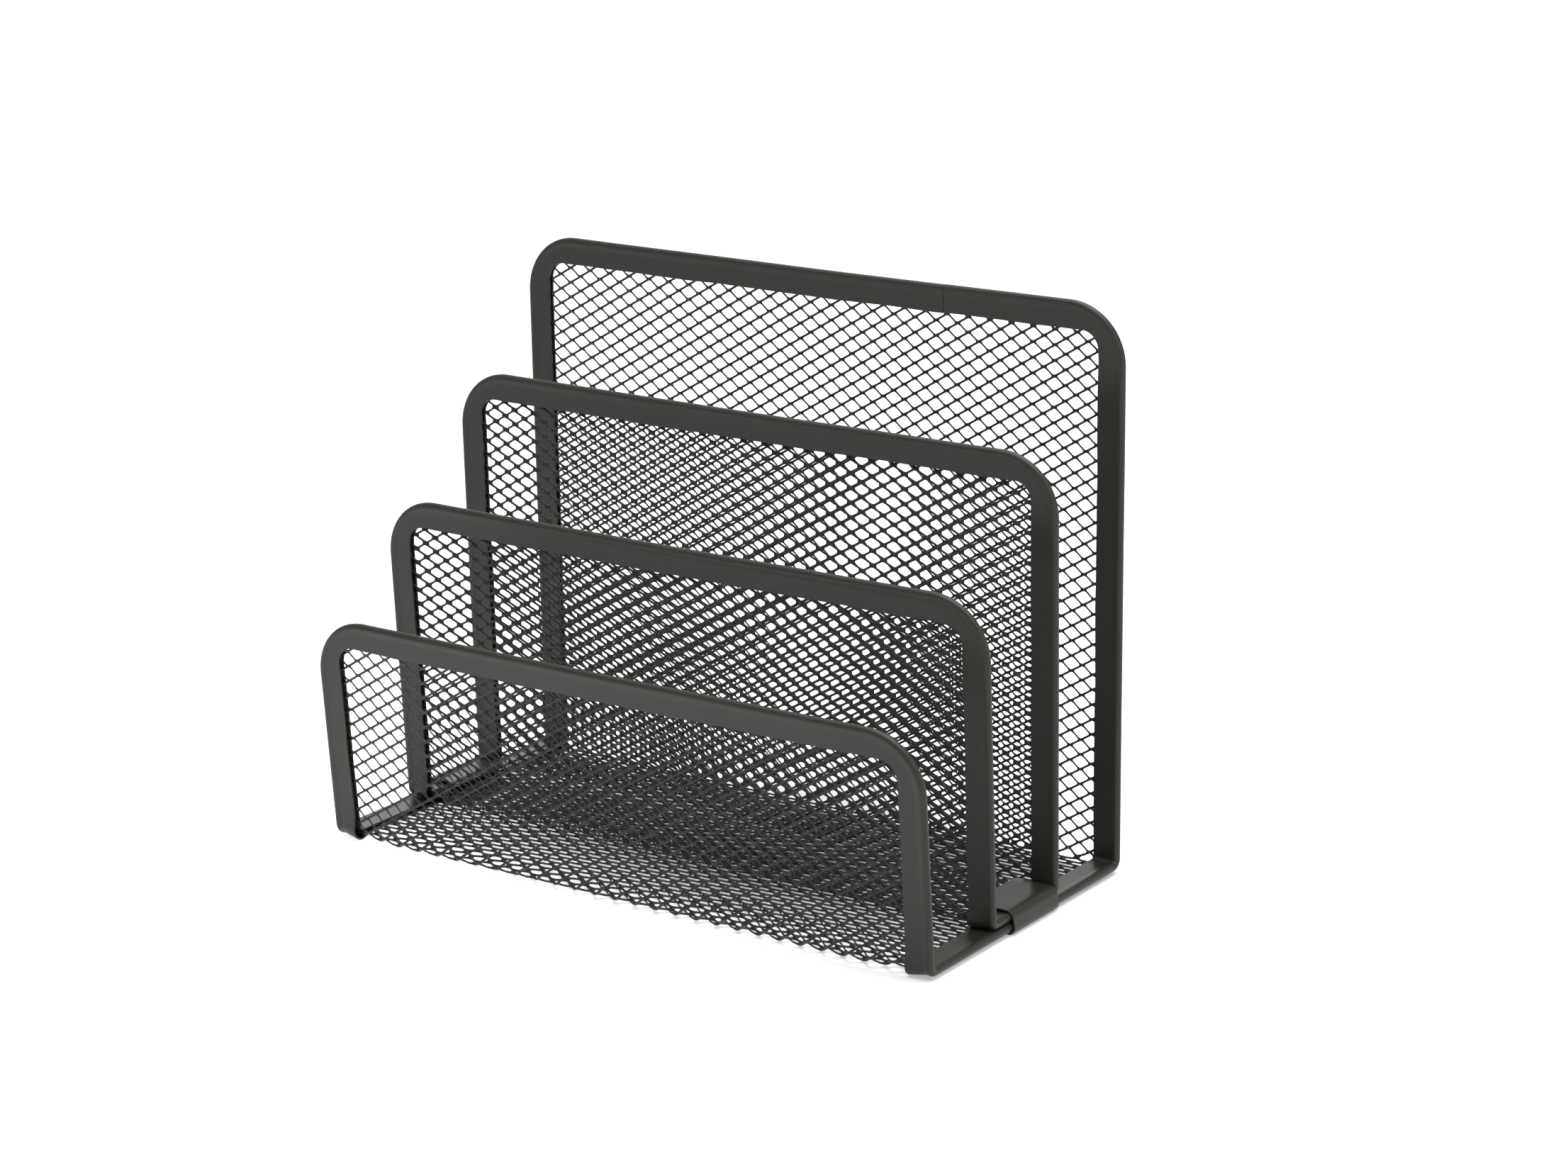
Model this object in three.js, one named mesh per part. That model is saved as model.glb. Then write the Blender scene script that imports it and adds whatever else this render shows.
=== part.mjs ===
// Desktop file sorter: four upright panels of expanded steel mesh, stepping up in height from front
// to back, with three slots between them for letters and files.
//
// Two sheets of mesh make the whole sorter. The outer sheet is folded into a U: front panel, base and
// back panel. The inner sheet is a smaller U that stands on the outer base: front divider, tray and
// rear divider. A steel strip folded over the edge of each sheet binds it all round, and a clamp on
// each side holds the two bound edges of the base together.
//
// Each sheet and its edging are laid out flat, in the coordinates of the blank, and then folded:
//   x  across the sorter, s  along the blank from the front top edge, q  out of the blank's surface.
// Millimetres, +X to the right, +Y to the back, +Z up. The origin is on the resting plane, midway
// between the sides and midway between the front and back extremes.

import * as THREE from 'three';
import { mergeVertices } from 'three/addons/utils/BufferGeometryUtils.js';

// ---- Driving dimensions ----

// Edging: a strip folded into a narrow channel over the edge of the mesh.
const STRIP = 0.5;                 // thickness of the strip's steel
const EDGING_THICKNESS = 2.2;      // across the folded channel
const EDGING_FACE = 6.9;           // width of each of the channel's two faces
const CORNER_RADIUS = 15;          // outer radius of a panel's top corners

// Mesh, as the flat space that the expanded steel fills.
const MESH_THICKNESS = 0.6;

// Clearances.
const GAP = 0.2;                   // between pieces that touch

// Outer sheet, over its edging.
const OUTER_WIDTH = 175.2;
const OUTER_BEND_RADIUS = 3;       // outside of the fold at a panel's foot

// Inner sheet, over its edging.
const INNER_WIDTH = 174.4;
const INNER_BEND_RADIUS = 2.4;

// Panels: distance of the foot behind the front foot, height of the top edge above the underside of
// the outer base, and how far the top edge stands forward of the foot.
const FRONT_PANEL = { foot: 0, height: 58.1, lean: 5.3 };
const FRONT_DIVIDER = { foot: 27.7, height: 82.6, lean: 5.35 };
const REAR_DIVIDER = { foot: 56, height: 109.5, lean: 3.7 };
const BACK_PANEL = { foot: 84.8, height: 139.7, lean: 3 };

// Clamps, one on each side.
const CLAMP_FRONT = 34.2;          // distance of the clamp's front end behind the front foot
const CLAMP_REAR = 54.5;
const CLAMP_LEG = 12;              // width of the clamp's upper and lower legs
const CLAMP_FLANK_LEAN = THREE.MathUtils.degToRad(10);
const CLAMP_TOP_RADIUS = 1.9;      // inside radii of the clamp's fold
const CLAMP_FOOT_RADIUS = 1.4;

// Smoothness of the faceted curves, and the distance within which their points are one point.
const CORNER_STEPS = 10;
const BEND_STEPS = 5;
const FOLD_STEPS = 6;
const SAME_POINT = 1e-4;

// ---- Derived heights ----

const OUTER_UNDERSIDE = STRIP + GAP;
const OUTER_MIDPLANE = OUTER_UNDERSIDE + EDGING_THICKNESS / 2;
const INNER_UNDERSIDE = OUTER_UNDERSIDE + EDGING_THICKNESS + GAP;
const INNER_MIDPLANE = INNER_UNDERSIDE + EDGING_THICKNESS / 2;
const CLAMP_HEIGHT = INNER_UNDERSIDE + EDGING_THICKNESS + GAP + STRIP;

// ---- Folding ----

// The plane of a panel, from its foot on the sheet's base plane to its top edge, as (y, z) points.
function panelLine(panel, basePlane) {
  const slope = panel.lean / panel.height;
  const top = OUTER_UNDERSIDE + panel.height;
  const foot = new THREE.Vector2(panel.foot - slope * (basePlane - OUTER_UNDERSIDE), basePlane);
  return { foot, top: new THREE.Vector2(panel.foot - panel.lean, top) };
}

// The side view of a folded sheet's middle plane: down the front panel, round a bend, along the
// base, round a bend and up the back panel. Each run knows where it starts along the blank.
function foldedSheet(frontPanel, backPanel, basePlane, outsideBendRadius) {
  const radius = outsideBendRadius - EDGING_THICKNESS / 2;
  const front = panelLine(frontPanel, basePlane);
  const back = panelLine(backPanel, basePlane);
  const corners = [front.top, front.foot, back.foot, back.top];
  const headings = corners.slice(1).map((corner, i) => {
    const run = corner.clone().sub(corners[i]);
    return Math.atan2(run.y, run.x);
  });
  const runs = [];
  let start = 0;
  let trimmed = 0;
  headings.forEach((heading, i) => {
    const turn = i < 2 ? headings[i + 1] - heading : 0;
    const setback = radius * Math.tan(turn / 2);
    const direction = new THREE.Vector2(Math.cos(heading), Math.sin(heading));
    const origin = corners[i].clone().addScaledVector(direction, trimmed);
    const length = corners[i].distanceTo(corners[i + 1]) - trimmed - setback;
    runs.push({ start, length, heading, turn: 0, origin });
    start += length;
    if (turn) {
      const bendOrigin = origin.clone().addScaledVector(direction, length);
      runs.push({ start, length: radius * turn, heading, turn, origin: bendOrigin });
      start += radius * turn;
    }
    trimmed = setback;
  });
  return { runs, radius, length: start };
}

// The place in the folded sheet of a point of the blank.
function foldPoint(sheet, x, s, q) {
  const run = sheet.runs.findLast((candidate) => s >= candidate.start) ?? sheet.runs[0];
  const along = s - run.start;
  const angle = run.turn ? run.heading + (along / run.length) * run.turn : run.heading;
  const chord = run.turn
    ? new THREE.Vector2(
        sheet.radius * (Math.sin(angle) - Math.sin(run.heading)),
        sheet.radius * (Math.cos(run.heading) - Math.cos(angle)),
      )
    : new THREE.Vector2(Math.cos(angle), Math.sin(angle)).multiplyScalar(along);
  const y = run.origin.x + chord.x + q * Math.sin(angle);
  const z = run.origin.y + chord.y - q * Math.cos(angle);
  return new THREE.Vector3(x, y, z);
}

// Places along the blank where the base is divided: both of its bends, in steps, and its flat.
function baseStations(sheet) {
  const [, frontBend, , backBend] = sheet.runs;
  const stations = [];
  for (const bend of [frontBend, backBend]) {
    for (let step = 0; step <= BEND_STEPS; step++) {
      stations.push(bend.start + (bend.length * step) / BEND_STEPS);
    }
  }
  stations[0] += GAP / 2;
  stations[stations.length - 1] -= GAP / 2;
  return stations;
}

// The two ends of an upright panel along the blank: its foot, clear of the bend, and its top edge.
function panelEnds(sheet, isFront) {
  const bend = sheet.runs[isFront ? 1 : 3];
  return isFront
    ? { foot: bend.start - GAP / 2, top: 0, up: -1 }
    : { foot: bend.start + bend.length + GAP / 2, top: sheet.length, up: 1 };
}

// ---- Solids ----

// A closed solid through rings of points, each ring an image of the same flat outline.
function loft(rings, outline) {
  const count = outline.length;
  const position = rings.flat().flatMap((point) => point.toArray());
  const index = [];
  for (let ring = 0; ring < rings.length - 1; ring++) {
    for (let k = 0; k < count; k++) {
      const here = ring * count;
      const next = here + count;
      const after = (k + 1) % count;
      index.push(here + k, here + after, next + after);
      index.push(here + k, next + after, next + k);
    }
  }
  const last = (rings.length - 1) * count;
  for (const [a, b, c] of THREE.ShapeUtils.triangulateShape(outline, [])) {
    index.push(c, b, a);
    index.push(last + a, last + b, last + c);
  }
  const geometry = new THREE.BufferGeometry();
  geometry.setAttribute('position', new THREE.Float32BufferAttribute(position, 3));
  geometry.setIndex(index);
  return geometry;
}

// The edging's section: p is outward from the edge of the sheet, q is out of its surface.
function edgingSection() {
  const outer = EDGING_THICKNESS / 2;
  const inner = outer - STRIP;
  const section = [new THREE.Vector2(-EDGING_FACE, -outer)];
  const addFold = (radius, direction) => {
    for (let step = 0; step <= FOLD_STEPS; step++) {
      const angle = direction * Math.PI * (step / FOLD_STEPS - 0.5);
      const p = radius * Math.cos(angle) - outer;
      section.push(new THREE.Vector2(p, radius * Math.sin(angle)));
    }
  };
  addFold(outer, 1);
  section.push(new THREE.Vector2(-EDGING_FACE, outer));
  section.push(new THREE.Vector2(-EDGING_FACE, inner));
  addFold(inner, -1);
  section.push(new THREE.Vector2(-EDGING_FACE, -inner));
  return section;
}

// Edging along a path on the blank. Each path point has its place and its outward direction.
function edgingAlong(sheet, path) {
  const section = edgingSection();
  const rings = path.map(({ x, s, outX, outS }) =>
    section.map(({ x: p, y: q }) => foldPoint(sheet, x + p * outX, s + p * outS, q)),
  );
  return loft(rings, section);
}

// The rim of an upright panel: up the right side, over the top and down the left side.
function panelRim(sheet, isFront, width) {
  const { foot, top, up } = panelEnds(sheet, isFront);
  const side = [{ x: width / 2, s: foot, outX: 1, outS: 0 }];
  const cornerX = width / 2 - CORNER_RADIUS;
  const cornerS = top - up * CORNER_RADIUS;
  for (let step = 0; step <= CORNER_STEPS; step++) {
    const angle = (Math.PI / 2) * (step / CORNER_STEPS);
    const outX = Math.cos(angle);
    const outS = up * Math.sin(angle);
    side.push({ x: cornerX + CORNER_RADIUS * outX, s: cornerS + CORNER_RADIUS * outS, outX, outS });
  }
  const farSide = side.toReversed().map((point) => ({ ...point, x: -point.x, outX: -point.outX }));
  const path = [...side, ...farSide];
  return edgingAlong(sheet, isFront ? path.reverse() : path);
}

// The rail along one side of a base, turned up into the panels' feet at both ends.
function baseRail(sheet, width, side) {
  const path = baseStations(sheet).map((s) => ({ x: (side * width) / 2, s, outX: side, outS: 0 }));
  return edgingAlong(sheet, side > 0 ? path : path.reverse());
}

// A sheet of mesh as wide as given at each place along the blank, inside its edging.
function meshPanel(sheet, stations) {
  const half = MESH_THICKNESS / 2;
  const outline = [[-1, -half], [1, -half], [1, half], [-1, half]].map((p) => new THREE.Vector2(...p));
  const rings = stations.map(({ s, width }) =>
    outline.map(({ x: side, y: q }) => foldPoint(sheet, (side * width) / 2, s, q)),
  );
  return loft(rings, outline);
}

function uprightMesh(sheet, isFront, width) {
  const { foot, top, up } = panelEnds(sheet, isFront);
  const inset = EDGING_THICKNESS / 2;
  const radius = CORNER_RADIUS - inset;
  const cornerS = top - up * CORNER_RADIUS;
  const stations = [{ s: foot, width: width - 2 * inset }];
  for (let step = 0; step <= CORNER_STEPS; step++) {
    const angle = (Math.PI / 2) * (step / CORNER_STEPS);
    const chord = width - 2 * CORNER_RADIUS + 2 * radius * Math.cos(angle);
    stations.push({ s: cornerS + up * radius * Math.sin(angle), width: chord });
  }
  return meshPanel(sheet, isFront ? stations.reverse() : stations);
}

function baseMesh(sheet, width) {
  const meshWidth = width - EDGING_THICKNESS;
  return meshPanel(sheet, baseStations(sheet).map((s) => ({ s, width: meshWidth })));
}

// ---- Clamps ----

// The clamp's section across the sorter: a channel lying on its side, open towards the middle. Its
// fold is round at the foot and rounder at the top, with a flank that leans in between them.
function clampSection() {
  const outerFace = OUTER_WIDTH / 2 + GAP + STRIP;
  const tip = outerFace - CLAMP_LEG;
  const footX = outerFace - STRIP - CLAMP_FOOT_RADIUS;
  const footZ = STRIP + CLAMP_FOOT_RADIUS;
  const topZ = CLAMP_HEIGHT - STRIP - CLAMP_TOP_RADIUS;
  const rise = topZ - footZ + (CLAMP_TOP_RADIUS - CLAMP_FOOT_RADIUS) * Math.sin(CLAMP_FLANK_LEAN);
  const shift = (CLAMP_FOOT_RADIUS - CLAMP_TOP_RADIUS) * Math.cos(CLAMP_FLANK_LEAN);
  const topX = footX + shift - rise * Math.tan(CLAMP_FLANK_LEAN);
  const lean = CLAMP_FLANK_LEAN;
  const quarter = Math.PI / 2;
  const section = new THREE.Shape();
  section.moveTo(tip, 0);
  section.lineTo(footX, 0);
  section.absarc(footX, footZ, CLAMP_FOOT_RADIUS + STRIP, -quarter, lean, false);
  section.absarc(topX, topZ, CLAMP_TOP_RADIUS + STRIP, lean, quarter, false);
  section.lineTo(tip, CLAMP_HEIGHT);
  section.lineTo(tip, CLAMP_HEIGHT - STRIP);
  section.absarc(topX, topZ, CLAMP_TOP_RADIUS, quarter, lean, true);
  section.absarc(footX, footZ, CLAMP_FOOT_RADIUS, lean, -quarter, true);
  section.lineTo(tip, STRIP);
  section.closePath();
  return section;
}

// The right clamp, between the feet of the two dividers.
function clamp() {
  const bar = new THREE.ExtrudeGeometry(clampSection(), {
    depth: CLAMP_REAR - CLAMP_FRONT,
    bevelEnabled: false,
    curveSegments: FOLD_STEPS,
  });
  bar.rotateX(Math.PI / 2);
  bar.translate(0, CLAMP_REAR, 0);
  bar.deleteAttribute('normal');
  bar.deleteAttribute('uv');
  return mergeVertices(bar, SAME_POINT);
}

// The same solid on the other side of the sorter.
function mirrored(geometry) {
  const copy = geometry.clone();
  copy.scale(-1, 1, 1);
  const { array } = copy.index;
  for (let i = 0; i < array.length; i += 3) {
    [array[i], array[i + 1]] = [array[i + 1], array[i]];
  }
  return copy;
}

// ---- Assembly ----

const powderCoat = { color: 0x4a4b48, roughness: 0.5, metalness: 0.35 };
const coatedMesh = { color: 0x434441, roughness: 0.55, metalness: 0.35 };

function piece(name, geometry, finish) {
  const mesh = new THREE.Mesh(geometry, new THREE.MeshStandardMaterial(finish));
  mesh.name = name;
  return mesh;
}

const outerSheet = foldedSheet(FRONT_PANEL, BACK_PANEL, OUTER_MIDPLANE, OUTER_BEND_RADIUS);
const innerSheet = foldedSheet(FRONT_DIVIDER, REAR_DIVIDER, INNER_MIDPLANE, INNER_BEND_RADIUS);
const rightClamp = clamp();

const sorter = new THREE.Group();
sorter.add(
  piece('front_mesh_panel', uprightMesh(outerSheet, true, OUTER_WIDTH), coatedMesh),
  piece('base_mesh_panel', baseMesh(outerSheet, OUTER_WIDTH), coatedMesh),
  piece('back_mesh_panel', uprightMesh(outerSheet, false, OUTER_WIDTH), coatedMesh),
  piece('front_panel_rim', panelRim(outerSheet, true, OUTER_WIDTH), powderCoat),
  piece('back_panel_rim', panelRim(outerSheet, false, OUTER_WIDTH), powderCoat),
  piece('base_rail_right', baseRail(outerSheet, OUTER_WIDTH, 1), powderCoat),
  piece('base_rail_left', baseRail(outerSheet, OUTER_WIDTH, -1), powderCoat),
  piece('front_divider_mesh', uprightMesh(innerSheet, true, INNER_WIDTH), coatedMesh),
  piece('tray_mesh_panel', baseMesh(innerSheet, INNER_WIDTH), coatedMesh),
  piece('rear_divider_mesh', uprightMesh(innerSheet, false, INNER_WIDTH), coatedMesh),
  piece('front_divider_rim', panelRim(innerSheet, true, INNER_WIDTH), powderCoat),
  piece('rear_divider_rim', panelRim(innerSheet, false, INNER_WIDTH), powderCoat),
  piece('tray_rail_right', baseRail(innerSheet, INNER_WIDTH, 1), powderCoat),
  piece('tray_rail_left', baseRail(innerSheet, INNER_WIDTH, -1), powderCoat),
  piece('clamp_right', rightClamp, powderCoat),
  piece('clamp_left', mirrored(rightClamp), powderCoat),
);

const extent = new THREE.Box3().setFromObject(sorter);
sorter.position.y = -(extent.min.y + extent.max.y) / 2;

export default sorter;
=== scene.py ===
import math

import bpy
import numpy as np
from mathutils import Matrix, Vector


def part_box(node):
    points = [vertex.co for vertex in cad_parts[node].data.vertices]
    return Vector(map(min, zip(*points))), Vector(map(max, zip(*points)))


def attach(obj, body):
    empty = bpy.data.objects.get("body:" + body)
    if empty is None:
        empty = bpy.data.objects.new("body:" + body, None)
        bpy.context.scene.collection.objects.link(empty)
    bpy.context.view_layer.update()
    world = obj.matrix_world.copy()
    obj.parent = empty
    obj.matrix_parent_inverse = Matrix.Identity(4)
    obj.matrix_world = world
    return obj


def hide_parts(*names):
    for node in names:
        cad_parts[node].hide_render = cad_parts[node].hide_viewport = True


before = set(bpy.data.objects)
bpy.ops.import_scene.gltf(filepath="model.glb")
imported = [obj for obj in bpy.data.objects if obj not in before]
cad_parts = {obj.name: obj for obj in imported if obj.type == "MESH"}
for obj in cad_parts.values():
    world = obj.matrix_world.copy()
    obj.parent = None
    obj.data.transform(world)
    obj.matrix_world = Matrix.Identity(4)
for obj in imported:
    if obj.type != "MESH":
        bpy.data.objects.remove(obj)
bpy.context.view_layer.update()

# ---- Driving dimensions, in millimetres in the row frame ----

MM = 0.001

# Each sheet is one flat blank, bent up at the front and at the back.
OUTER_BEND_RADIUS = 3.0
INNER_BEND_RADIUS = 2.4

# Edging: a steel strip folded over the edge of the mesh. The fold is a round bead, and the two legs
# are pressed a little closer together behind it.
STRIP = 0.5
EDGING_THICKNESS = 2.2
EDGING_FACE = 6.9
LEG_PRESS = 0.17
NECK_LENGTH = 1.5
LIP_ROUNDING = 0.1
CORNER_RADIUS = 15.0
LIP_CORNER_RADIUS = 4.5
TOP_EDGE_SAG = 0.3

# The strip's two ends meet at a seam: the outer one's in the back panel's top edge, at this x, and
# the inner one's in the right rail, this far in front of the rear bend.
SEAM_GAP = 0.12
OUTER_SEAM_X = 38.0
INNER_SEAM_AHEAD = 8.0

# Slight waves along the strip: of its lips, of its faces and of its edge. Those of the lips and the
# faces grow from WAVE_START behind the edge, and have one wavelength on the strip's outer leg and
# another on its inner leg.
WAVE_START = 2.0
LIP_WAVE = 0.12
LIP_WAVELENGTHS = (37.0, 43.0)
FACE_WAVE = 0.035
FACE_WAVELENGTHS = (23.0, 29.0)
EDGE_WAVE = 0.06
EDGE_WAVELENGTH = 160.0

# The strip puffs out where it turns under at the front feet.
FOOT_BULGE = 1.0
FOOT_BULGE_REACH = 2.6

# How finely the strip is cut: points round its section, and points and steps along its path.
LEG_POINTS = 5
NECK_POINTS = 7
FOLD_POINTS = 15
SIDE_STEP = 1.5
BEND_POINTS = 17
BEND_MARGIN = 0.4
CORNER_POINTS = 29
END_POINTS = 90

# Expanded metal, as the usual long and short ways of one diamond and the section of a strand.
LONG_WAY = 6.0
SHORT_WAY = 3.75
STRAND_WIDTH = 0.57
STRAND_THICKNESS = 0.43
STRAND_TILT = math.radians(53)
OUTER_BOND_HALF_LENGTH = 0.8
INNER_BOND_HALF_LENGTH = 1.05
BOND_HALF_HEIGHT = 0.64
STRAND_BEND_SHARE = 0.4
MESH_INSET = 4.0
LATTICE_ROUNDS = 10

# The edging presses the mesh flatter, from the edge to HELD_MARGIN before its lips and less over
# the next HELD_FADE. The front fold bulges between the rails, fully over all but the outer
# 1 / BULGE_STEEPNESS of the way to each.
PRESSED_SHARE = 0.5
HELD_MARGIN = 0.3
HELD_FADE = 1.2
FOLD_BULGE = 1.0
FOLD_BULGE_REACH = 5.0
BULGE_STEEPNESS = 8

# Clamps, and how finely their plate is cut.
CLAMP_TOP_RADIUS = 1.9
CLAMP_FOOT_RADIUS = 1.4
CLAMP_FLANK_LEAN = math.radians(10)
CLAMP_CORNER_RADIUS = 1.2
CLAMP_BEVEL = 0.1
CLAMP_TOP_POINTS = 13
CLAMP_TOP_BEND_POINTS = 15
CLAMP_FOOT_BEND_POINTS = 17
CLAMP_FOOT_POINTS = 11
CLAMP_COLUMNS = 25

# Edges that turn more than this are drawn sharp, and bevelled on the clamps.
SHARP_ANGLE = math.radians(50)


def box_mm(node):
    """A CAD node's lowest and highest corners in millimetres."""
    low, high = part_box(node)
    return np.array(low) / MM, np.array(high) / MM


# ---- Folding ----


def panel_line(rim, base_plane):
    """The middle plane of an upright panel as (y, z) points, at its top edge and on the base."""
    low, high = box_mm(rim)
    half = EDGING_THICKNESS / 2
    lower = np.array([high[1] - half, low[2]])
    upper = np.array([low[1] + half, high[2] - half])
    up = (upper - lower) / np.linalg.norm(upper - lower)
    return upper + up * half, lower - up * (low[2] - base_plane) / up[1]


class FoldedSheet:
    """A flat blank folded at the feet of its two upright panels.

    x runs across the sorter, s along the blank from the front top edge, and q out of its surface,
    towards the outside of the fold.
    """

    def __init__(self, front_rim, back_rim, rail, bend_radius):
        low, high = box_mm(rail)
        base_plane = low[2] + EDGING_THICKNESS / 2
        front_top, front_foot = panel_line(front_rim, base_plane)
        back_top, back_foot = panel_line(back_rim, base_plane)
        corners = np.array([front_top, front_foot, back_foot, back_top])
        self.radius = bend_radius - EDGING_THICKNESS / 2
        steps = np.diff(corners, axis=0)
        headings = np.arctan2(steps[:, 1], steps[:, 0])
        starts, lengths, turns, origins, run_headings = [], [], [], [], []
        start, trimmed = 0.0, 0.0
        for i, heading in enumerate(headings):
            turn = headings[i + 1] - heading if i < 2 else 0.0
            setback = self.radius * math.tan(turn / 2)
            direction = np.array([math.cos(heading), math.sin(heading)])
            origin = corners[i] + direction * trimmed
            length = np.linalg.norm(steps[i]) - trimmed - setback
            starts.append(start)
            lengths.append(length)
            turns.append(0.0)
            origins.append(origin)
            run_headings.append(heading)
            start += length
            if turn:
                starts.append(start)
                lengths.append(self.radius * turn)
                turns.append(turn)
                origins.append(origin + direction * length)
                run_headings.append(heading)
                start += self.radius * turn
            trimmed = setback
        self.starts = np.array(starts)
        self.lengths = np.array(lengths)
        self.turns = np.array(turns)
        self.origins = np.array(origins)
        self.headings = np.array(run_headings)
        self.length = start
        self.half_width = high[0]
        self.bends = [(self.starts[i], self.starts[i] + self.lengths[i]) for i in (1, 3)]
        self.feet = [sum(bend) / 2 for bend in self.bends]

    def place(self, x, s, q):
        """Points of the blank in the folded sheet, in millimetres."""
        x, s, q = np.broadcast_arrays(x, s, q)
        run = np.clip(np.searchsorted(self.starts, s, side="right") - 1, 0, len(self.starts) - 1)
        along = s - self.starts[run]
        heading = self.headings[run]
        turn = self.turns[run]
        angle = heading + along / self.lengths[run] * turn
        bent = turn != 0
        arc_y = self.radius * (np.sin(angle) - np.sin(heading))
        arc_z = self.radius * (np.cos(heading) - np.cos(angle))
        chord_y = np.where(bent, arc_y, along * np.cos(angle))
        chord_z = np.where(bent, arc_z, along * np.sin(angle))
        y = self.origins[run, 0] + chord_y + q * np.sin(angle)
        z = self.origins[run, 1] + chord_z - q * np.cos(angle)
        return np.stack([x, y, z], axis=-1)

    def inset(self, x, s):
        """How far a point of the blank lies inside its rounded outline."""
        side = self.half_width - np.abs(x)
        end = np.minimum(s, self.length - s)
        in_corner = (side < CORNER_RADIUS) & (end < CORNER_RADIUS)
        round_off = CORNER_RADIUS - np.hypot(CORNER_RADIUS - side, CORNER_RADIUS - end)
        return np.where(in_corner, round_off, np.minimum(side, end))


outer_sheet = FoldedSheet("front_panel_rim", "back_panel_rim", "base_rail_right", OUTER_BEND_RADIUS)
inner_sheet = FoldedSheet("front_divider_rim", "rear_divider_rim", "tray_rail_right", INNER_BEND_RADIUS)


# ---- Meshes ----


def make_object(name, points_mm, faces, material, nodes, sharp_angle=None):
    """A piece of the sorter from an array of points and a list of arrays of faces."""
    mesh = bpy.data.meshes.new(name)
    points = np.ascontiguousarray(points_mm * MM, dtype=np.float32)
    loops = np.concatenate([f.ravel() for f in faces]).astype(np.int32)
    sizes = np.concatenate([np.full(len(f), f.shape[1]) for f in faces])
    mesh.vertices.add(len(points))
    mesh.vertices.foreach_set("co", points.ravel())
    mesh.loops.add(len(loops))
    mesh.loops.foreach_set("vertex_index", loops)
    mesh.polygons.add(len(sizes))
    starts = np.concatenate([[0], np.cumsum(sizes)[:-1]]).astype(np.int32)
    mesh.polygons.foreach_set("loop_start", starts)
    mesh.polygons.foreach_set("use_smooth", np.ones(len(sizes), dtype=bool))
    mesh.update(calc_edges=True)
    mesh.validate()
    if sharp_angle:
        mesh.set_sharp_from_angle(angle=sharp_angle)
    piece = bpy.data.objects.new(name, mesh)
    bpy.context.scene.collection.objects.link(piece)
    mesh.materials.append(material)
    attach(piece, "root")
    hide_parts(*nodes)
    return piece


# The waves that make up a ripple: the wavelength and the height of each, as shares of the whole.
RIPPLE_WAVES = ((1.0, 0.5), (0.57, 0.3), (0.31, 0.2))


def ripple(distance, seed, wavelength):
    """A smooth irregular wave between about -1 and 1 along a distance."""
    total = np.zeros_like(distance)
    for k, (stretch, share) in enumerate(RIPPLE_WAVES):
        # Any phases do that differ from seed to seed and from wave to wave.
        phase = seed * (1.7 + k) + k * k
        total += share * np.sin(2 * np.pi * distance / (wavelength * stretch) + phase)
    return total


def unit(vector):
    return vector / np.linalg.norm(vector)


def smooth_step(share):
    """A share from 0 to 1 that starts and ends gently."""
    return share * share * (3 - 2 * share)


# ---- Edging ----


def edging_section():
    """The folded strip's section as its outer and inner curves, from one lip round to the other.

    The first column is outwards from the edge of the sheet and the second is out of its surface.
    """
    bead = EDGING_THICKNESS / 2
    leg_out = np.linspace(-EDGING_FACE + LIP_ROUNDING, -bead - NECK_LENGTH, LEG_POINTS)
    neck_out = np.linspace(-bead - NECK_LENGTH, -bead, NECK_POINTS)[1:]
    neck_rise = smooth_step((neck_out + bead + NECK_LENGTH) / NECK_LENGTH)
    leg = np.stack([leg_out, np.full(LEG_POINTS, bead - LEG_PRESS)], axis=1)
    neck = np.stack([neck_out, bead - LEG_PRESS * (1 - neck_rise)], axis=1)
    angles = np.linspace(math.pi / 2, -math.pi / 2, FOLD_POINTS)[1:-1]
    fold = np.stack([bead * np.cos(angles) - bead, bead * np.sin(angles)], axis=1)
    near = np.concatenate([leg, neck])
    far = near[::-1] * [1, -1]
    outer = np.concatenate([near, fold, far])
    tangent = np.gradient(outer, axis=0)
    tangent /= np.linalg.norm(tangent, axis=1)[:, None]
    inner = outer + STRIP * np.stack([tangent[:, 1], -tangent[:, 0]], axis=1)
    return outer, inner


def side_places(sheet):
    """The distances along the blank at which the edging on its sides has points."""
    places = [np.arange(CORNER_RADIUS, sheet.length - CORNER_RADIUS, SIDE_STEP)]
    for bend_start, bend_end in sheet.bends:
        places.append(np.linspace(bend_start, bend_end, BEND_POINTS))
        places.append([bend_start - BEND_MARGIN, bend_end + BEND_MARGIN])
    places.append([sheet.length - CORNER_RADIUS])
    return np.unique(np.round(np.concatenate(places), 4))


def outline(sheet):
    """The outline of the blank from its back right corner, as rows of x, s and outward direction."""
    half, length, radius = sheet.half_width, sheet.length, CORNER_RADIUS
    reach = half - radius
    side = side_places(sheet)
    rows = []

    def add_end(xs, s, out_s):
        rows.extend([x, s, 0.0, out_s] for x in xs)

    def add_corner(sign_x, s_centre, first, last):
        for angle in np.radians(np.linspace(first, last, CORNER_POINTS))[1:-1]:
            out = (math.cos(angle), math.sin(angle))
            rows.append([sign_x * reach + radius * out[0], s_centre + radius * out[1], *out])

    def add_side(ss, sign_x):
        rows.extend([sign_x * half, s, sign_x, 0.0] for s in ss)

    add_corner(1, length - radius, 90, 0)
    add_side(side[::-1], 1)
    add_corner(1, radius, 0, -90)
    add_end(np.linspace(reach, -reach, END_POINTS), 0.0, -1.0)
    add_corner(-1, radius, -90, -180)
    add_side(side, -1)
    add_corner(-1, length - radius, 180, 90)
    add_end(np.linspace(-reach, reach, END_POINTS), length, 1.0)
    return np.array(rows)


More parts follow.
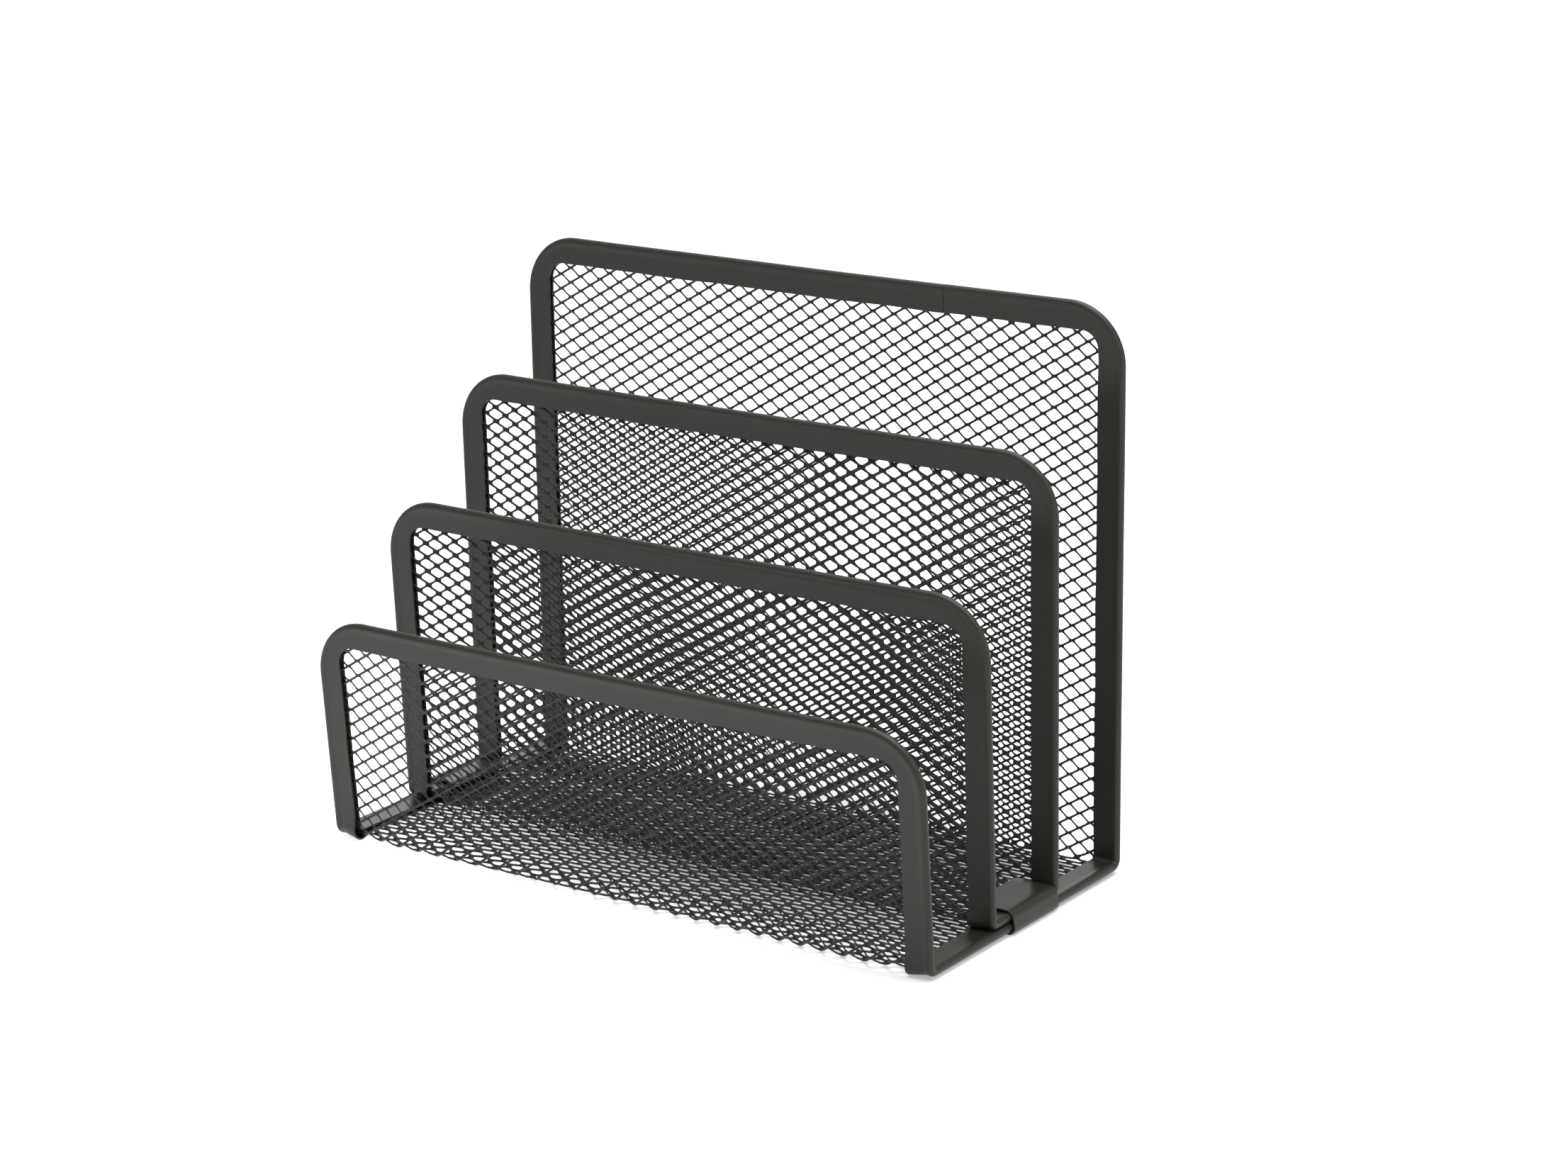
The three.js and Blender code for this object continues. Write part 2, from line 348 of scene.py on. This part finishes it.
def edging_path(sheet, seam):
    """The outline of the blank from the seam, near a point of the blank, round to the seam again.

    Each row is x, s, the outward direction and the distance along the outline.
    """
    path = outline(sheet)
    first = np.argmin(np.hypot(path[:, 0] - seam[0], path[:, 1] - seam[1]))
    path = np.roll(path, -first, axis=0)
    path = np.concatenate([path, path[:1]])
    path[0, :2] += SEAM_GAP / 2 * unit(path[1, :2] - path[0, :2])
    path[-1, :2] -= SEAM_GAP / 2 * unit(path[-1, :2] - path[-2, :2])
    hops = np.hypot(*np.diff(path[:, :2], axis=0).T)
    return np.column_stack([path, np.concatenate([[0], np.cumsum(hops)])])


def corner_narrowing(out_x, out_s):
    """How much narrower the strip's face is at a corner, where its lips turn more sharply."""
    reach = CORNER_RADIUS - EDGING_FACE
    shift = reach - LIP_CORNER_RADIUS
    larger = np.maximum(np.abs(out_x), np.abs(out_s))
    smaller = np.minimum(np.abs(out_x), np.abs(out_s))
    beside = shift * (larger - smaller)
    turn = shift * (larger + smaller) + np.sqrt(np.clip(LIP_CORNER_RADIUS**2 - beside**2, 0, None))
    return np.where(smaller * reach < larger * shift, reach / larger, turn) - reach


def edging_rings(sheet, path, seed):
    """Points of the strip, one ring of its section at each point of the path."""
    outer, inner = edging_section()
    far_lip = (outer[-1] + inner[-1]) / 2 - [LIP_ROUNDING, 0]
    near_lip = (outer[0] + inner[0]) / 2 - [LIP_ROUNDING, 0]
    section = np.concatenate([outer, [far_lip], inner[::-1], [near_lip]])
    out, rise = section[:, 0], section[:, 1]
    x, s, out_x, out_s, distance = (column[:, None] for column in path.T)
    leg = np.clip((-out - WAVE_START) / (EDGING_FACE - WAVE_START), 0, 1)[None, :]
    near = (rise > 0)[None, :]

    def waves(near_seed, far_seed, wavelengths):
        near_wave = ripple(distance, near_seed, wavelengths[0])
        return np.where(near, near_wave, ripple(distance, far_seed, wavelengths[1]))

    lip_wave = waves(seed, seed + 3, LIP_WAVELENGTHS)
    face_wave = waves(seed + 5, seed + 8, FACE_WAVELENGTHS)
    p = out[None, :] + leg * (LIP_WAVE * lip_wave + corner_narrowing(out_x, out_s))
    puff = FOOT_BULGE * np.exp(-(((s - sheet.feet[0]) / FOOT_BULGE_REACH) ** 2))
    q = rise[None, :] + FACE_WAVE * leg * face_wave + puff * np.where(near, leg, 0.0) * np.abs(out_x)
    sag = TOP_EDGE_SAG * np.abs(out_s) * (1 - (x / sheet.half_width) ** 2)
    bow = EDGE_WAVE * ripple(distance, seed + 11, EDGE_WAVELENGTH) - sag
    return sheet.place(x + (p + bow) * out_x, s + (p + bow) * out_s, q), len(outer)


def make_edging(name, sheet, seam, seed, nodes):
    rings, curve = edging_rings(sheet, edging_path(sheet, seam), seed)
    count, size = rings.shape[:2]
    here = np.arange(count - 1)[:, None] * size + np.arange(size)[None, :]
    after = np.arange(count - 1)[:, None] * size + (np.arange(size)[None, :] + 1) % size
    sides = np.stack([here, after, after + size, here + size], axis=-1).reshape(-1, 4)
    k = np.arange(curve - 1)
    mirror = 2 * curve - k
    cap = np.stack([k, mirror, mirror - 1, k + 1], axis=-1)
    lips = np.array([[0, size - 1, 2 * curve], [curve - 1, curve + 1, curve]])
    last = (count - 1) * size
    faces = [sides, cap, (cap + last)[:, ::-1], lips, (lips + last)[:, ::-1]]
    points = rings.reshape(-1, 3)
    return make_object(name, points, faces, edging_paint, nodes, SHARP_ANGLE)


# ---- Expanded metal ----


class Lay:
    """How the diamonds lie on an upright panel, counted across it and down from its top edge.

    They may get longer towards the left edge, their columns may lean and their rows may fall.
    """

    def __init__(self, start_across, long_way, widening, column_lean, start_down, short_way, row_fall):
        self.start = np.array([start_across, start_down])
        self.long_way = long_way
        self.widening = widening
        self.column_lean = column_lean
        self.short_way = short_way
        self.row_fall = row_fall

    def count(self, x, down):
        """The lattice indices at points of the panel, two for each whole diamond."""
        across = x / self.long_way + self.widening * x * x + self.column_lean * down
        along = down / self.short_way + self.row_fall * x
        return 2 * (np.stack(np.broadcast_arrays(across, along), axis=-1) + self.start)


class Diamonds:
    """The diamonds of one sheet, with their shared bonds and strands, as arrays.

    Bonds lie on a lattice of half ways, at even sums of their two indices, and diamonds at odd sums.
    """

    # Places along a strand: on its middle line from its lower bond, and on its edges from the bond at
    # an opening's side to the bond at the opening's top or bottom.
    PLACES = np.array([0.22, 0.5, 0.78])
    EDGE_PLACES = np.array([0.29, 0.54, 0.8])
    # How far a strand bends out of its own plane at those places, as shares of its full bend.
    LIFTS = np.array([1.0, 0.0, -1.0])
    # The edge of a strand's rounded section, as shares of its half width and half thickness.
    RINGS = ((0.74, 0.86), (1.0, 0.0), (0.74, -0.86))
    # The steps from a diamond to its right, top, left and bottom bond.
    QUARTERS = ((1, 0), (0, 1), (-1, 0), (0, -1))
    # Columns and rows that are tried beyond the blank's own, because a lay may start beside it.
    SPARE_COLUMNS = 4
    SPARE_ROWS = 12

    def __init__(self, sheet, tilt, bond_half_length, front_lay, back_lay):
        self.sheet = sheet
        self.tilt = tilt
        self.bond_half_length = bond_half_length
        self.bend = BOND_HALF_HEIGHT * STRAND_BEND_SHARE * math.sin(STRAND_TILT) * tilt
        self.half_ways = np.array([LONG_WAY, SHORT_WAY]) / 2
        self.front_lay = front_lay
        self.back_lay = back_lay
        # The front and back panels count their diamonds from their own top edges, so the back panel's
        # count is shifted by whole diamonds to run on from the front panel's at the base's middle.
        middle = sum(sheet.feet) / 2
        gap = front_lay.count(0.0, middle) - back_lay.count(0.0, sheet.length - middle) * [1, -1]
        self.run_on = 2 * np.round(gap / 2)
        reach_x = int(sheet.half_width / self.half_ways[0]) + self.SPARE_COLUMNS
        reach_s = int(sheet.length / self.half_ways[1]) + self.SPARE_ROWS
        columns = np.arange(-reach_x, reach_x + 1)
        rows = np.arange(-self.SPARE_ROWS, reach_s + 1)
        i, j = np.meshgrid(columns, rows, indexing="ij")
        cells = np.stack([i.ravel(), j.ravel()], axis=1)
        cells = cells[(cells.sum(axis=1) % 2) == 1]
        x, s = self.lattice(cells).T
        self.cells = cells[(s > 0) & (s < sheet.length) & (sheet.inset(x, s) > MESH_INSET)]

    def count(self, x, s):
        """The lattice indices at points of the blank."""
        front_foot, back_foot = self.sheet.feet
        share = smooth_step(np.clip((s - front_foot) / (back_foot - front_foot), 0, 1)[..., None])
        front = self.front_lay.count(x, s)
        back = self.back_lay.count(x, self.sheet.length - s) * [1, -1] + self.run_on
        return front * (1 - share) + back * share

    def lattice(self, indices):
        """The points of the blank that have these lattice indices."""
        points = indices * self.half_ways
        for _ in range(LATTICE_ROUNDS):
            missing = indices - self.count(points[..., 0], points[..., 1])
            points = points + missing * self.half_ways
        return points

    def tilted(self, centre, offset_x, offset_s, thickness, lift):
        """Points beside a centre on the blank, in the plane of the tilted strands."""
        cos, sin = math.cos(STRAND_TILT), self.tilt * math.sin(STRAND_TILT)
        x = centre[..., 0] + offset_x
        s = centre[..., 1] + offset_s * cos - thickness * sin
        q = lift + offset_s * sin + thickness * cos
        return np.stack(np.broadcast_arrays(x, s, q), axis=-1)

    def middle_points(self, bonds, strands):
        """Points of the bonds and the strands' middle lines, on one side of the metal and the other."""
        # A strand rises along the blank from its lower bond, to the right where its two indices
        # differ by a multiple of four and otherwise to the left.
        rises_right = np.where((strands[:, 0] - strands[:, 1]) % 4 == 0, 1.0, -1.0)
        lower = strands / 2 - np.stack([rises_right / 2, np.full(len(strands), 0.5)], axis=1)
        rise = np.stack([rises_right, np.ones(len(strands))], axis=1)
        along = lower[:, None, :] + rise[:, None, :] * self.PLACES[None, :, None]
        lifts = self.bend * self.LIFTS[None, :]
        points = []
        for thickness in (STRAND_THICKNESS / 2, -STRAND_THICKNESS / 2):
            points.append(self.tilted(self.lattice(bonds), 0, 0, thickness, 0))
            on_strands = self.tilted(self.lattice(along), 0, 0, thickness, lifts)
            points.append(on_strands.reshape(-1, 3))
        return points

    def piece(self, cells):
        """Points on the blank and faces of the diamonds of these cells, as one closed solid."""
        corners = cells[:, None, :] + np.array(self.QUARTERS)
        middles = corners + np.roll(corners, -1, axis=1)
        bonds, bond_of = unique_rows(corners.reshape(-1, 2))
        strands, strand_of = unique_rows(middles.reshape(-1, 2))
        bond_of = bond_of.reshape(-1, 4)
        strand_of = strand_of.reshape(-1, 4)
        # Each diamond's outline runs right, top, left, bottom, with three places on each strand.
        forward = np.array([[0, 1, 2], [2, 1, 0], [2, 1, 0], [0, 1, 2]])
        on_strands = len(bonds) + 3 * strand_of[:, :, None] + forward[None, :, :]
        upper = np.concatenate([bond_of[:, :, None], on_strands], axis=2).reshape(len(cells), 16)
        layer = len(bonds) + 3 * len(strands)
        ring_ids = 2 * layer + np.arange(3 * len(cells) * 16).reshape(3, len(cells), 16)
        uses = np.bincount(strand_of.ravel(), minlength=len(strands))
        open_edge = np.repeat(uses[strand_of] == 1, 4, axis=1)
        faces = self.faces([upper, *ring_ids, upper + layer], open_edge)
        rings = [self.ring(cells, *profile).reshape(-1, 3) for profile in self.RINGS]
        return np.concatenate([*self.middle_points(bonds, strands), *rings]), faces

    def faces(self, levels, open_edge):
        """The openings' walls, level by level, and the sides of strands that only one diamond has."""
        faces = []
        for above, below in zip(levels, levels[1:]):
            quad = np.stack([above, np.roll(above, -1, 1), np.roll(below, -1, 1), below], axis=-1)
            faces.append(quad.reshape(-1, 4)[:, ::-1])
        upper, lower = levels[0], levels[-1]
        edge = np.stack([np.roll(upper, -1, 1), upper, lower, np.roll(lower, -1, 1)], axis=-1)
        faces.append(edge[open_edge][:, ::-1])
        return faces

    def ring(self, cells, width_share, thickness_share):
        """One ring round the opening of each diamond, as points on the blank."""
        across = unit(self.half_ways[::-1]) * STRAND_WIDTH / 2
        thickness = thickness_share * STRAND_THICKNESS / 2
        points = []
        for k, (to_x, to_s) in enumerate(self.QUARTERS):
            next_x, next_s = self.QUARTERS[(k + 1) % 4]
            bond = self.lattice(cells + [to_x, to_s])[:, None, :]
            inwards_x = -to_x * self.bond_half_length * width_share
            inwards_s = -to_s * BOND_HALF_HEIGHT * width_share
            points.append(self.tilted(bond, inwards_x, inwards_s, thickness, 0.0))
            for place in self.EDGE_PLACES if to_x else 1 - self.EDGE_PLACES[::-1]:
                at_x = to_x * (1 - place) + next_x * place
                at_s = to_s * (1 - place) + next_s * place
                climb = place if next_s > to_s else 1 - place
                lift = self.bend * np.interp(climb, self.PLACES, self.LIFTS)
                point = self.lattice(cells + [at_x, at_s])[:, None, :]
                offset_x = -np.sign(at_x) * across[0] * width_share
                offset_s = -np.sign(at_s) * across[1] * width_share
                points.append(self.tilted(point, offset_x, offset_s, thickness, lift))
        return np.concatenate(points, axis=1)

    def folded(self, points):
        """Points of the blank in the row frame.

        The mesh is pressed flatter where the edging holds it, and its front fold bulges outwards
        between the rails.
        """
        x, s, q = points.T
        inset = self.sheet.inset(x, s)
        held = 1 - np.clip((inset - EDGING_FACE + HELD_MARGIN) / HELD_FADE, 0, 1)
        span = np.clip(1 - np.abs(x) / (self.sheet.half_width - EDGING_FACE), 0, 1)
        ridge = np.exp(-(((s - self.sheet.feet[0]) / FOLD_BULGE_REACH) ** 2))
        bulge = FOLD_BULGE * np.minimum(1, span * BULGE_STEEPNESS) * ridge
        return self.sheet.place(x, s, q * (1 - held * PRESSED_SHARE) + bulge)


def unique_rows(rows):
    """The different rows of an array of whole numbers, and which of them each row is."""
    spread = 1 << 16
    middle = spread // 2
    keys = (rows[:, 0] + middle).astype(np.int64) * spread + rows[:, 1] + middle
    different, which = np.unique(keys, return_inverse=True)
    rows = np.stack([different // spread - middle, different % spread - middle], axis=1)
    return rows, which


def make_mesh_piece(name, diamonds, low_s, high_s, node):
    """The expanded metal of the stretch of blank between two distances."""
    s = diamonds.lattice(diamonds.cells)[:, 1]
    points, faces = diamonds.piece(diamonds.cells[(s >= low_s) & (s < high_s)])
    folded = diamonds.folded(points)
    return make_object(name, folded, faces, mesh_paint, [node])


def make_mesh(diamonds, pieces):
    """The mesh of one sheet: its front panel, its base and the two halves of its back panel.

    The pieces are pairs of a name and the CAD node that the piece stands for.
    """
    front_foot, back_foot = diamonds.sheet.feet
    length = diamonds.sheet.length
    limits = [0, front_foot, back_foot, (back_foot + length) / 2, length]
    for (name, node), low_s, high_s in zip(pieces, limits, limits[1:]):
        make_mesh_piece(name, diamonds, low_s, high_s, node)


# ---- Clamps ----


def clamp_section(low, high):
    """The middle line of a clamp's section in x and z, from its upper tip round to its lower tip."""
    half = STRIP / 2
    foot = np.array([high[0] - STRIP - CLAMP_FOOT_RADIUS, low[2] + STRIP + CLAMP_FOOT_RADIUS])
    top_z = high[2] - STRIP - CLAMP_TOP_RADIUS
    grow = CLAMP_TOP_RADIUS - CLAMP_FOOT_RADIUS
    lean = CLAMP_FLANK_LEAN
    rise = top_z - foot[1] + grow * math.sin(lean)
    top = np.array([foot[0] - grow * math.cos(lean) - rise * math.tan(lean), top_z])
    points, normals = [], []

    def add(point, angle):
        points.append(point)
        normals.append([math.cos(angle), math.sin(angle)])

    for x in np.linspace(low[0], top[0], CLAMP_TOP_POINTS)[:-1]:
        add([x, high[2] - half], math.pi / 2)
    for angle in np.linspace(math.pi / 2, lean, CLAMP_TOP_BEND_POINTS):
        add(top + (CLAMP_TOP_RADIUS + half) * np.array([math.cos(angle), math.sin(angle)]), angle)
    for angle in np.linspace(lean, -math.pi / 2, CLAMP_FOOT_BEND_POINTS):
        add(foot + (CLAMP_FOOT_RADIUS + half) * np.array([math.cos(angle), math.sin(angle)]), angle)
    for x in np.linspace(foot[0], low[0], CLAMP_FOOT_POINTS)[1:]:
        add([x, low[2] + half], -math.pi / 2)
    return np.array(points), np.array(normals)


def make_clamp(name, node, side):
    """A clamp: a plate bent round the base and the tray, with slightly rounded corners.

    It is built in the right clamp's box, and side -1 mirrors it.
    """
    low, high = box_mm("clamp_right")
    section, normals = clamp_section(low, high)
    travel = np.concatenate([[0], np.cumsum(np.hypot(*np.diff(section, axis=0).T))])
    corner = CLAMP_CORNER_RADIUS
    from_tip = np.minimum(travel, travel[-1] - travel)
    short_by = np.clip(corner - from_tip, 0, corner)
    rounding = corner - np.sqrt(np.clip(corner**2 - short_by**2, 0, None))
    front = low[1] + rounding
    rear = high[1] - rounding
    steps = np.linspace(0, 1, CLAMP_COLUMNS)
    y = front[:, None] + (rear - front)[:, None] * steps[None, :]
    layers = []
    for half in (STRIP / 2, -STRIP / 2):
        surface = section + normals * half
        x = np.broadcast_to(side * surface[:, :1], y.shape)
        z = np.broadcast_to(surface[:, 1:], y.shape)
        layers.append(np.stack([x, y, z], axis=-1).reshape(-1, 3))
    rows, columns = y.shape
    ids = np.arange(rows * columns).reshape(rows, columns)
    quad = np.stack([ids[:-1, :-1], ids[1:, :-1], ids[1:, 1:], ids[:-1, 1:]], axis=-1)
    quad = quad.reshape(-1, 4)
    rim = np.concatenate([ids[0, :-1], ids[:-1, -1], ids[-1, :0:-1], ids[:0:-1, 0]])
    beyond = np.roll(rim, -1)
    layer = rows * columns
    wall = np.stack([rim, beyond, beyond + layer, rim + layer], axis=-1)
    faces = [quad[:, ::-1], quad + layer, wall[:, ::-1]]
    if side < 0:
        faces = [f[:, ::-1] for f in faces]
    points = np.concatenate(layers)
    piece = make_object(name, points, faces, edging_paint, [node], SHARP_ANGLE)
    bevel = piece.modifiers.new("edges", "BEVEL")
    bevel.width = CLAMP_BEVEL * MM
    bevel.segments = 2
    bevel.limit_method = "ANGLE"
    bevel.angle_limit = SHARP_ANGLE
    return piece


# ---- Materials ----


COAT_SPECULAR = 0.29
# The coat varies in wide clouds and fine specks, in brightness and, with the clouds, in roughness.
CLOUD_SCALE = 45.0
DARKEST, LIGHTEST = 0.86, 1.14
ROUGHNESS_SPREAD = 0.06
# Orange peel, with a grain that is coarser than the specks'.
PEEL_SCALE = 0.6
PEEL_STRENGTH = 0.25
PEEL_DEPTH = 0.05 * MM


def powder_coat(name, colour, roughness, grain):
    """Satin powder coat: an even charcoal with a faint orange peel and slight changes of sheen."""
    material = bpy.data.materials.new(name)
    material.use_nodes = True
    nodes, links = material.node_tree.nodes, material.node_tree.links
    shader = nodes["Principled BSDF"]
    shader.inputs["Metallic"].default_value = 0.0
    shader.inputs["Specular IOR Level"].default_value = COAT_SPECULAR
    place = nodes.new("ShaderNodeTexCoord")

    def noise(scale, detail):
        node = nodes.new("ShaderNodeTexNoise")
        node.inputs["Scale"].default_value = scale
        node.inputs["Detail"].default_value = detail
        links.new(place.outputs["Object"], node.inputs["Vector"])
        return node

    def spread(source, low, high):
        node = nodes.new("ShaderNodeMapRange")
        node.inputs["To Min"].default_value = low
        node.inputs["To Max"].default_value = high
        links.new(source, node.inputs["Value"])
        return node.outputs["Result"]

    cloud = noise(CLOUD_SCALE, 3.0)
    speck = noise(grain, 2.0)
    shade = nodes.new("ShaderNodeMix")
    shade.data_type = "RGBA"
    shade.inputs["A"].default_value = (*[c * DARKEST for c in colour], 1)
    shade.inputs["B"].default_value = (*[c * LIGHTEST for c in colour], 1)
    both = nodes.new("ShaderNodeMath")
    both.operation = "ADD"
    links.new(spread(cloud.outputs["Fac"], 0.0, 0.5), both.inputs[0])
    links.new(spread(speck.outputs["Fac"], 0.0, 0.5), both.inputs[1])
    links.new(both.outputs["Value"], shade.inputs["Factor"])
    links.new(shade.outputs["Result"], shader.inputs["Base Color"])
    sheen = spread(cloud.outputs["Fac"], roughness - ROUGHNESS_SPREAD, roughness + ROUGHNESS_SPREAD)
    links.new(sheen, shader.inputs["Roughness"])
    peel = noise(grain * PEEL_SCALE, 1.0)
    bump = nodes.new("ShaderNodeBump")
    bump.inputs["Strength"].default_value = PEEL_STRENGTH
    bump.inputs["Distance"].default_value = PEEL_DEPTH
    links.new(peel.outputs["Fac"], bump.inputs["Height"])
    links.new(bump.outputs["Normal"], shader.inputs["Normal"])
    return material


edging_paint = powder_coat("edging_powder_coat", (0.018, 0.020, 0.0155), 0.4, 1400.0)
mesh_paint = powder_coat("mesh_powder_coat", (0.015, 0.0165, 0.0135), 0.42, 1800.0)


# ---- The sorter ----

outer_seam = (OUTER_SEAM_X, outer_sheet.length)
outer_rims = ["front_panel_rim", "back_panel_rim", "base_rail_left", "base_rail_right"]
make_edging("outer_edging", outer_sheet, outer_seam, 1.0, outer_rims)
inner_seam = (inner_sheet.half_width, inner_sheet.feet[1] - INNER_SEAM_AHEAD)
inner_rims = ["front_divider_rim", "rear_divider_rim", "tray_rail_left", "tray_rail_right"]
make_edging("inner_edging", inner_sheet, inner_seam, 2.0, inner_rims)

# Each panel's mesh lies a little differently.
front_panel_lay = Lay(
    start_across=0.295,
    long_way=5.828,
    widening=1.8e-5,
    column_lean=0.0072,
    start_down=0.593,
    short_way=3.84,
    row_fall=-0.0037,
)
back_panel_lay = Lay(
    start_across=-0.44,
    long_way=6.08,
    widening=2.8e-5,
    column_lean=0.0016,
    start_down=0.16,
    short_way=3.79,
    row_fall=-0.0029,
)
front_divider_lay = Lay(
    start_across=-0.168,
    long_way=6.057,
    widening=2.8e-5,
    column_lean=0.0015,
    start_down=0.542,
    short_way=3.65,
    row_fall=0.0008,
)
rear_divider_lay = Lay(
    start_across=-0.48,
    long_way=6.1,
    widening=0.0,
    column_lean=0.0003,
    start_down=0.42,
    short_way=3.67,
    row_fall=-0.0015,
)
# The strands of the two sheets are tilted opposite ways.
outer_diamonds = Diamonds(outer_sheet, -1.0, OUTER_BOND_HALF_LENGTH, front_panel_lay, back_panel_lay)
make_mesh(
    outer_diamonds,
    [
        ("front_mesh", "front_mesh_panel"),
        ("base_mesh", "base_mesh_panel"),
        ("back_mesh_lower", "back_mesh_panel"),
        ("back_mesh_upper", "back_mesh_panel"),
    ],
)
inner_diamonds = Diamonds(inner_sheet, 1.0, INNER_BOND_HALF_LENGTH, front_divider_lay, rear_divider_lay)
make_mesh(
    inner_diamonds,
    [
        ("front_divider_expanded", "front_divider_mesh"),
        ("tray_expanded", "tray_mesh_panel"),
        ("rear_divider_lower", "rear_divider_mesh"),
        ("rear_divider_upper", "rear_divider_mesh"),
    ],
)

make_clamp("right_clamp", "clamp_right", 1)
make_clamp("left_clamp", "clamp_left", -1)


# ---- Stage, light and camera, in metres ----


FLOOR_REACH = 6.0
FLOOR_WHITE = 0.7
FLOOR_ROUGHNESS = 0.9
FLOOR_SPECULAR = 0.2
# The floor glows a little, so that it stays white, and carries painted light and shade: more glow in a
# pool of painted light in front of the sorter, which lights its low front from below, less right under
# it, as a painted shadow, and more again far away, where the softbox no longer reaches. Each glow fades
# from its first value to its second between the two radii.
POOL_CENTRE = (-0.09, -0.17, 0.0)
POOL_RADII = (0.06, 0.28)
POOL_GLOW = (0.95, 0.2)
# Painted shadow on the floor under the sorter, drawn as less glow.
PAINTED_SHADOW_CENTRE = (0.0, 0.02, 0.0)
PAINTED_SHADOW_RADII = (0.02, 0.085)
PAINTED_SHADOW_GLOW = (-0.37, 0.0)
FAR_CENTRE = (0.0, 0.0, 0.0)
FAR_RADII = (0.4, 1.6)
FAR_GLOW = (0.0, 0.4)

WORLD_STRENGTH = 0.6
LIGHT_TARGET = Vector((0.0, 0.0, 0.06))

CAMERA_AZIMUTH = math.radians(34.183)
CAMERA_ELEVATION = math.radians(15.731)
CAMERA_ROLL = math.radians(-0.143)
CAMERA_DISTANCE = 0.8634
CAMERA_TARGET = Vector((0.01990, 0.00038, 0.07169))
CAMERA_LENS = 83.48


def make_floor_material():
    material = bpy.data.materials.new("pale_floor")
    material.use_nodes = True
    nodes, links = material.node_tree.nodes, material.node_tree.links
    shader = nodes["Principled BSDF"]
    shader.inputs["Base Color"].default_value = (FLOOR_WHITE, FLOOR_WHITE, FLOOR_WHITE, 1)
    shader.inputs["Roughness"].default_value = FLOOR_ROUGHNESS
    shader.inputs["Specular IOR Level"].default_value = FLOOR_SPECULAR
    shader.inputs["Emission Color"].default_value = (1, 1, 1, 1)
    place = nodes.new("ShaderNodeTexCoord")

    def fade(centre, radii, glow):
        away = nodes.new("ShaderNodeVectorMath")
        away.operation = "DISTANCE"
        away.inputs[1].default_value = centre
        links.new(place.outputs["Object"], away.inputs[0])
        ramp = nodes.new("ShaderNodeMapRange")
        ramp.interpolation_type = "SMOOTHSTEP"
        ramp.inputs["From Min"].default_value = radii[0]
        ramp.inputs["From Max"].default_value = radii[1]
        ramp.inputs["To Min"].default_value = glow[0]
        ramp.inputs["To Max"].default_value = glow[1]
        links.new(away.outputs["Value"], ramp.inputs["Value"])
        return ramp.outputs["Result"]

    def add(first, second):
        node = nodes.new("ShaderNodeMath")
        links.new(first, node.inputs[0])
        links.new(second, node.inputs[1])
        return node.outputs["Value"]

    # A glowing pool of painted light in front of the sorter and a painted shadow of less glow under it.
    pool = fade(POOL_CENTRE, POOL_RADII, POOL_GLOW)
    shade = fade(PAINTED_SHADOW_CENTRE, PAINTED_SHADOW_RADII, PAINTED_SHADOW_GLOW)
    far = fade(FAR_CENTRE, FAR_RADII, FAR_GLOW)
    links.new(add(add(pool, shade), far), shader.inputs["Emission Strength"])
    return material


def make_floor():
    mesh = bpy.data.meshes.new("floor")
    reach = FLOOR_REACH
    corners = [(-reach, -reach, 0), (reach, -reach, 0), (reach, reach, 0), (-reach, reach, 0)]
    mesh.from_pydata(corners, [], [(0, 1, 2, 3)])
    floor = bpy.data.objects.new("floor", mesh)
    bpy.context.scene.collection.objects.link(floor)
    mesh.materials.append(make_floor_material())


def make_softbox(name, location, size, power):
    """A soft rectangular light that faces the sorter and isn't seen itself."""
    data = bpy.data.lights.new(name, "AREA")
    data.shape = "RECTANGLE"
    data.size, data.size_y = size
    data.energy = power
    light = bpy.data.objects.new(name, data)
    light.location = location
    light.rotation_mode = "QUATERNION"
    light.rotation_quaternion = (LIGHT_TARGET - Vector(location)).to_track_quat("-Z", "Y")
    light.visible_camera = False
    bpy.context.scene.collection.objects.link(light)


def make_world():
    world = bpy.data.worlds.new("studio")
    world.use_nodes = True
    background = world.node_tree.nodes["Background"]
    background.inputs["Color"].default_value = (1, 1, 1, 1)
    background.inputs["Strength"].default_value = WORLD_STRENGTH
    bpy.context.scene.world = world
    bpy.context.scene.view_settings.view_transform = "Standard"


def make_camera():
    az, el = CAMERA_AZIMUTH, CAMERA_ELEVATION
    back = Vector((math.sin(az) * math.cos(el), -math.cos(az) * math.cos(el), math.sin(el)))
    data = bpy.data.cameras.new("camera")
    data.lens = CAMERA_LENS
    data.sensor_width = 36.0
    data.clip_start = 0.05
    data.clip_end = 50
    camera = bpy.data.objects.new("camera", data)
    camera.location = CAMERA_TARGET + back * CAMERA_DISTANCE
    camera.rotation_mode = "QUATERNION"
    turn = (-back).to_track_quat("-Z", "Y")
    camera.rotation_quaternion = turn @ Matrix.Rotation(CAMERA_ROLL, 3, "Z").to_quaternion()
    bpy.context.scene.collection.objects.link(camera)
    bpy.context.scene.camera = camera


make_floor()
make_world()
make_softbox("top_softbox", (0.1, 0.1, 1.1), size=(1.2, 1.0), power=18)
make_softbox("right_softbox", (1.1, -0.1, 0.5), size=(0.8, 0.8), power=3)
make_softbox("back_softbox", (-0.7, 1.3, 0.55), size=(1.6, 0.8), power=8)
make_camera()
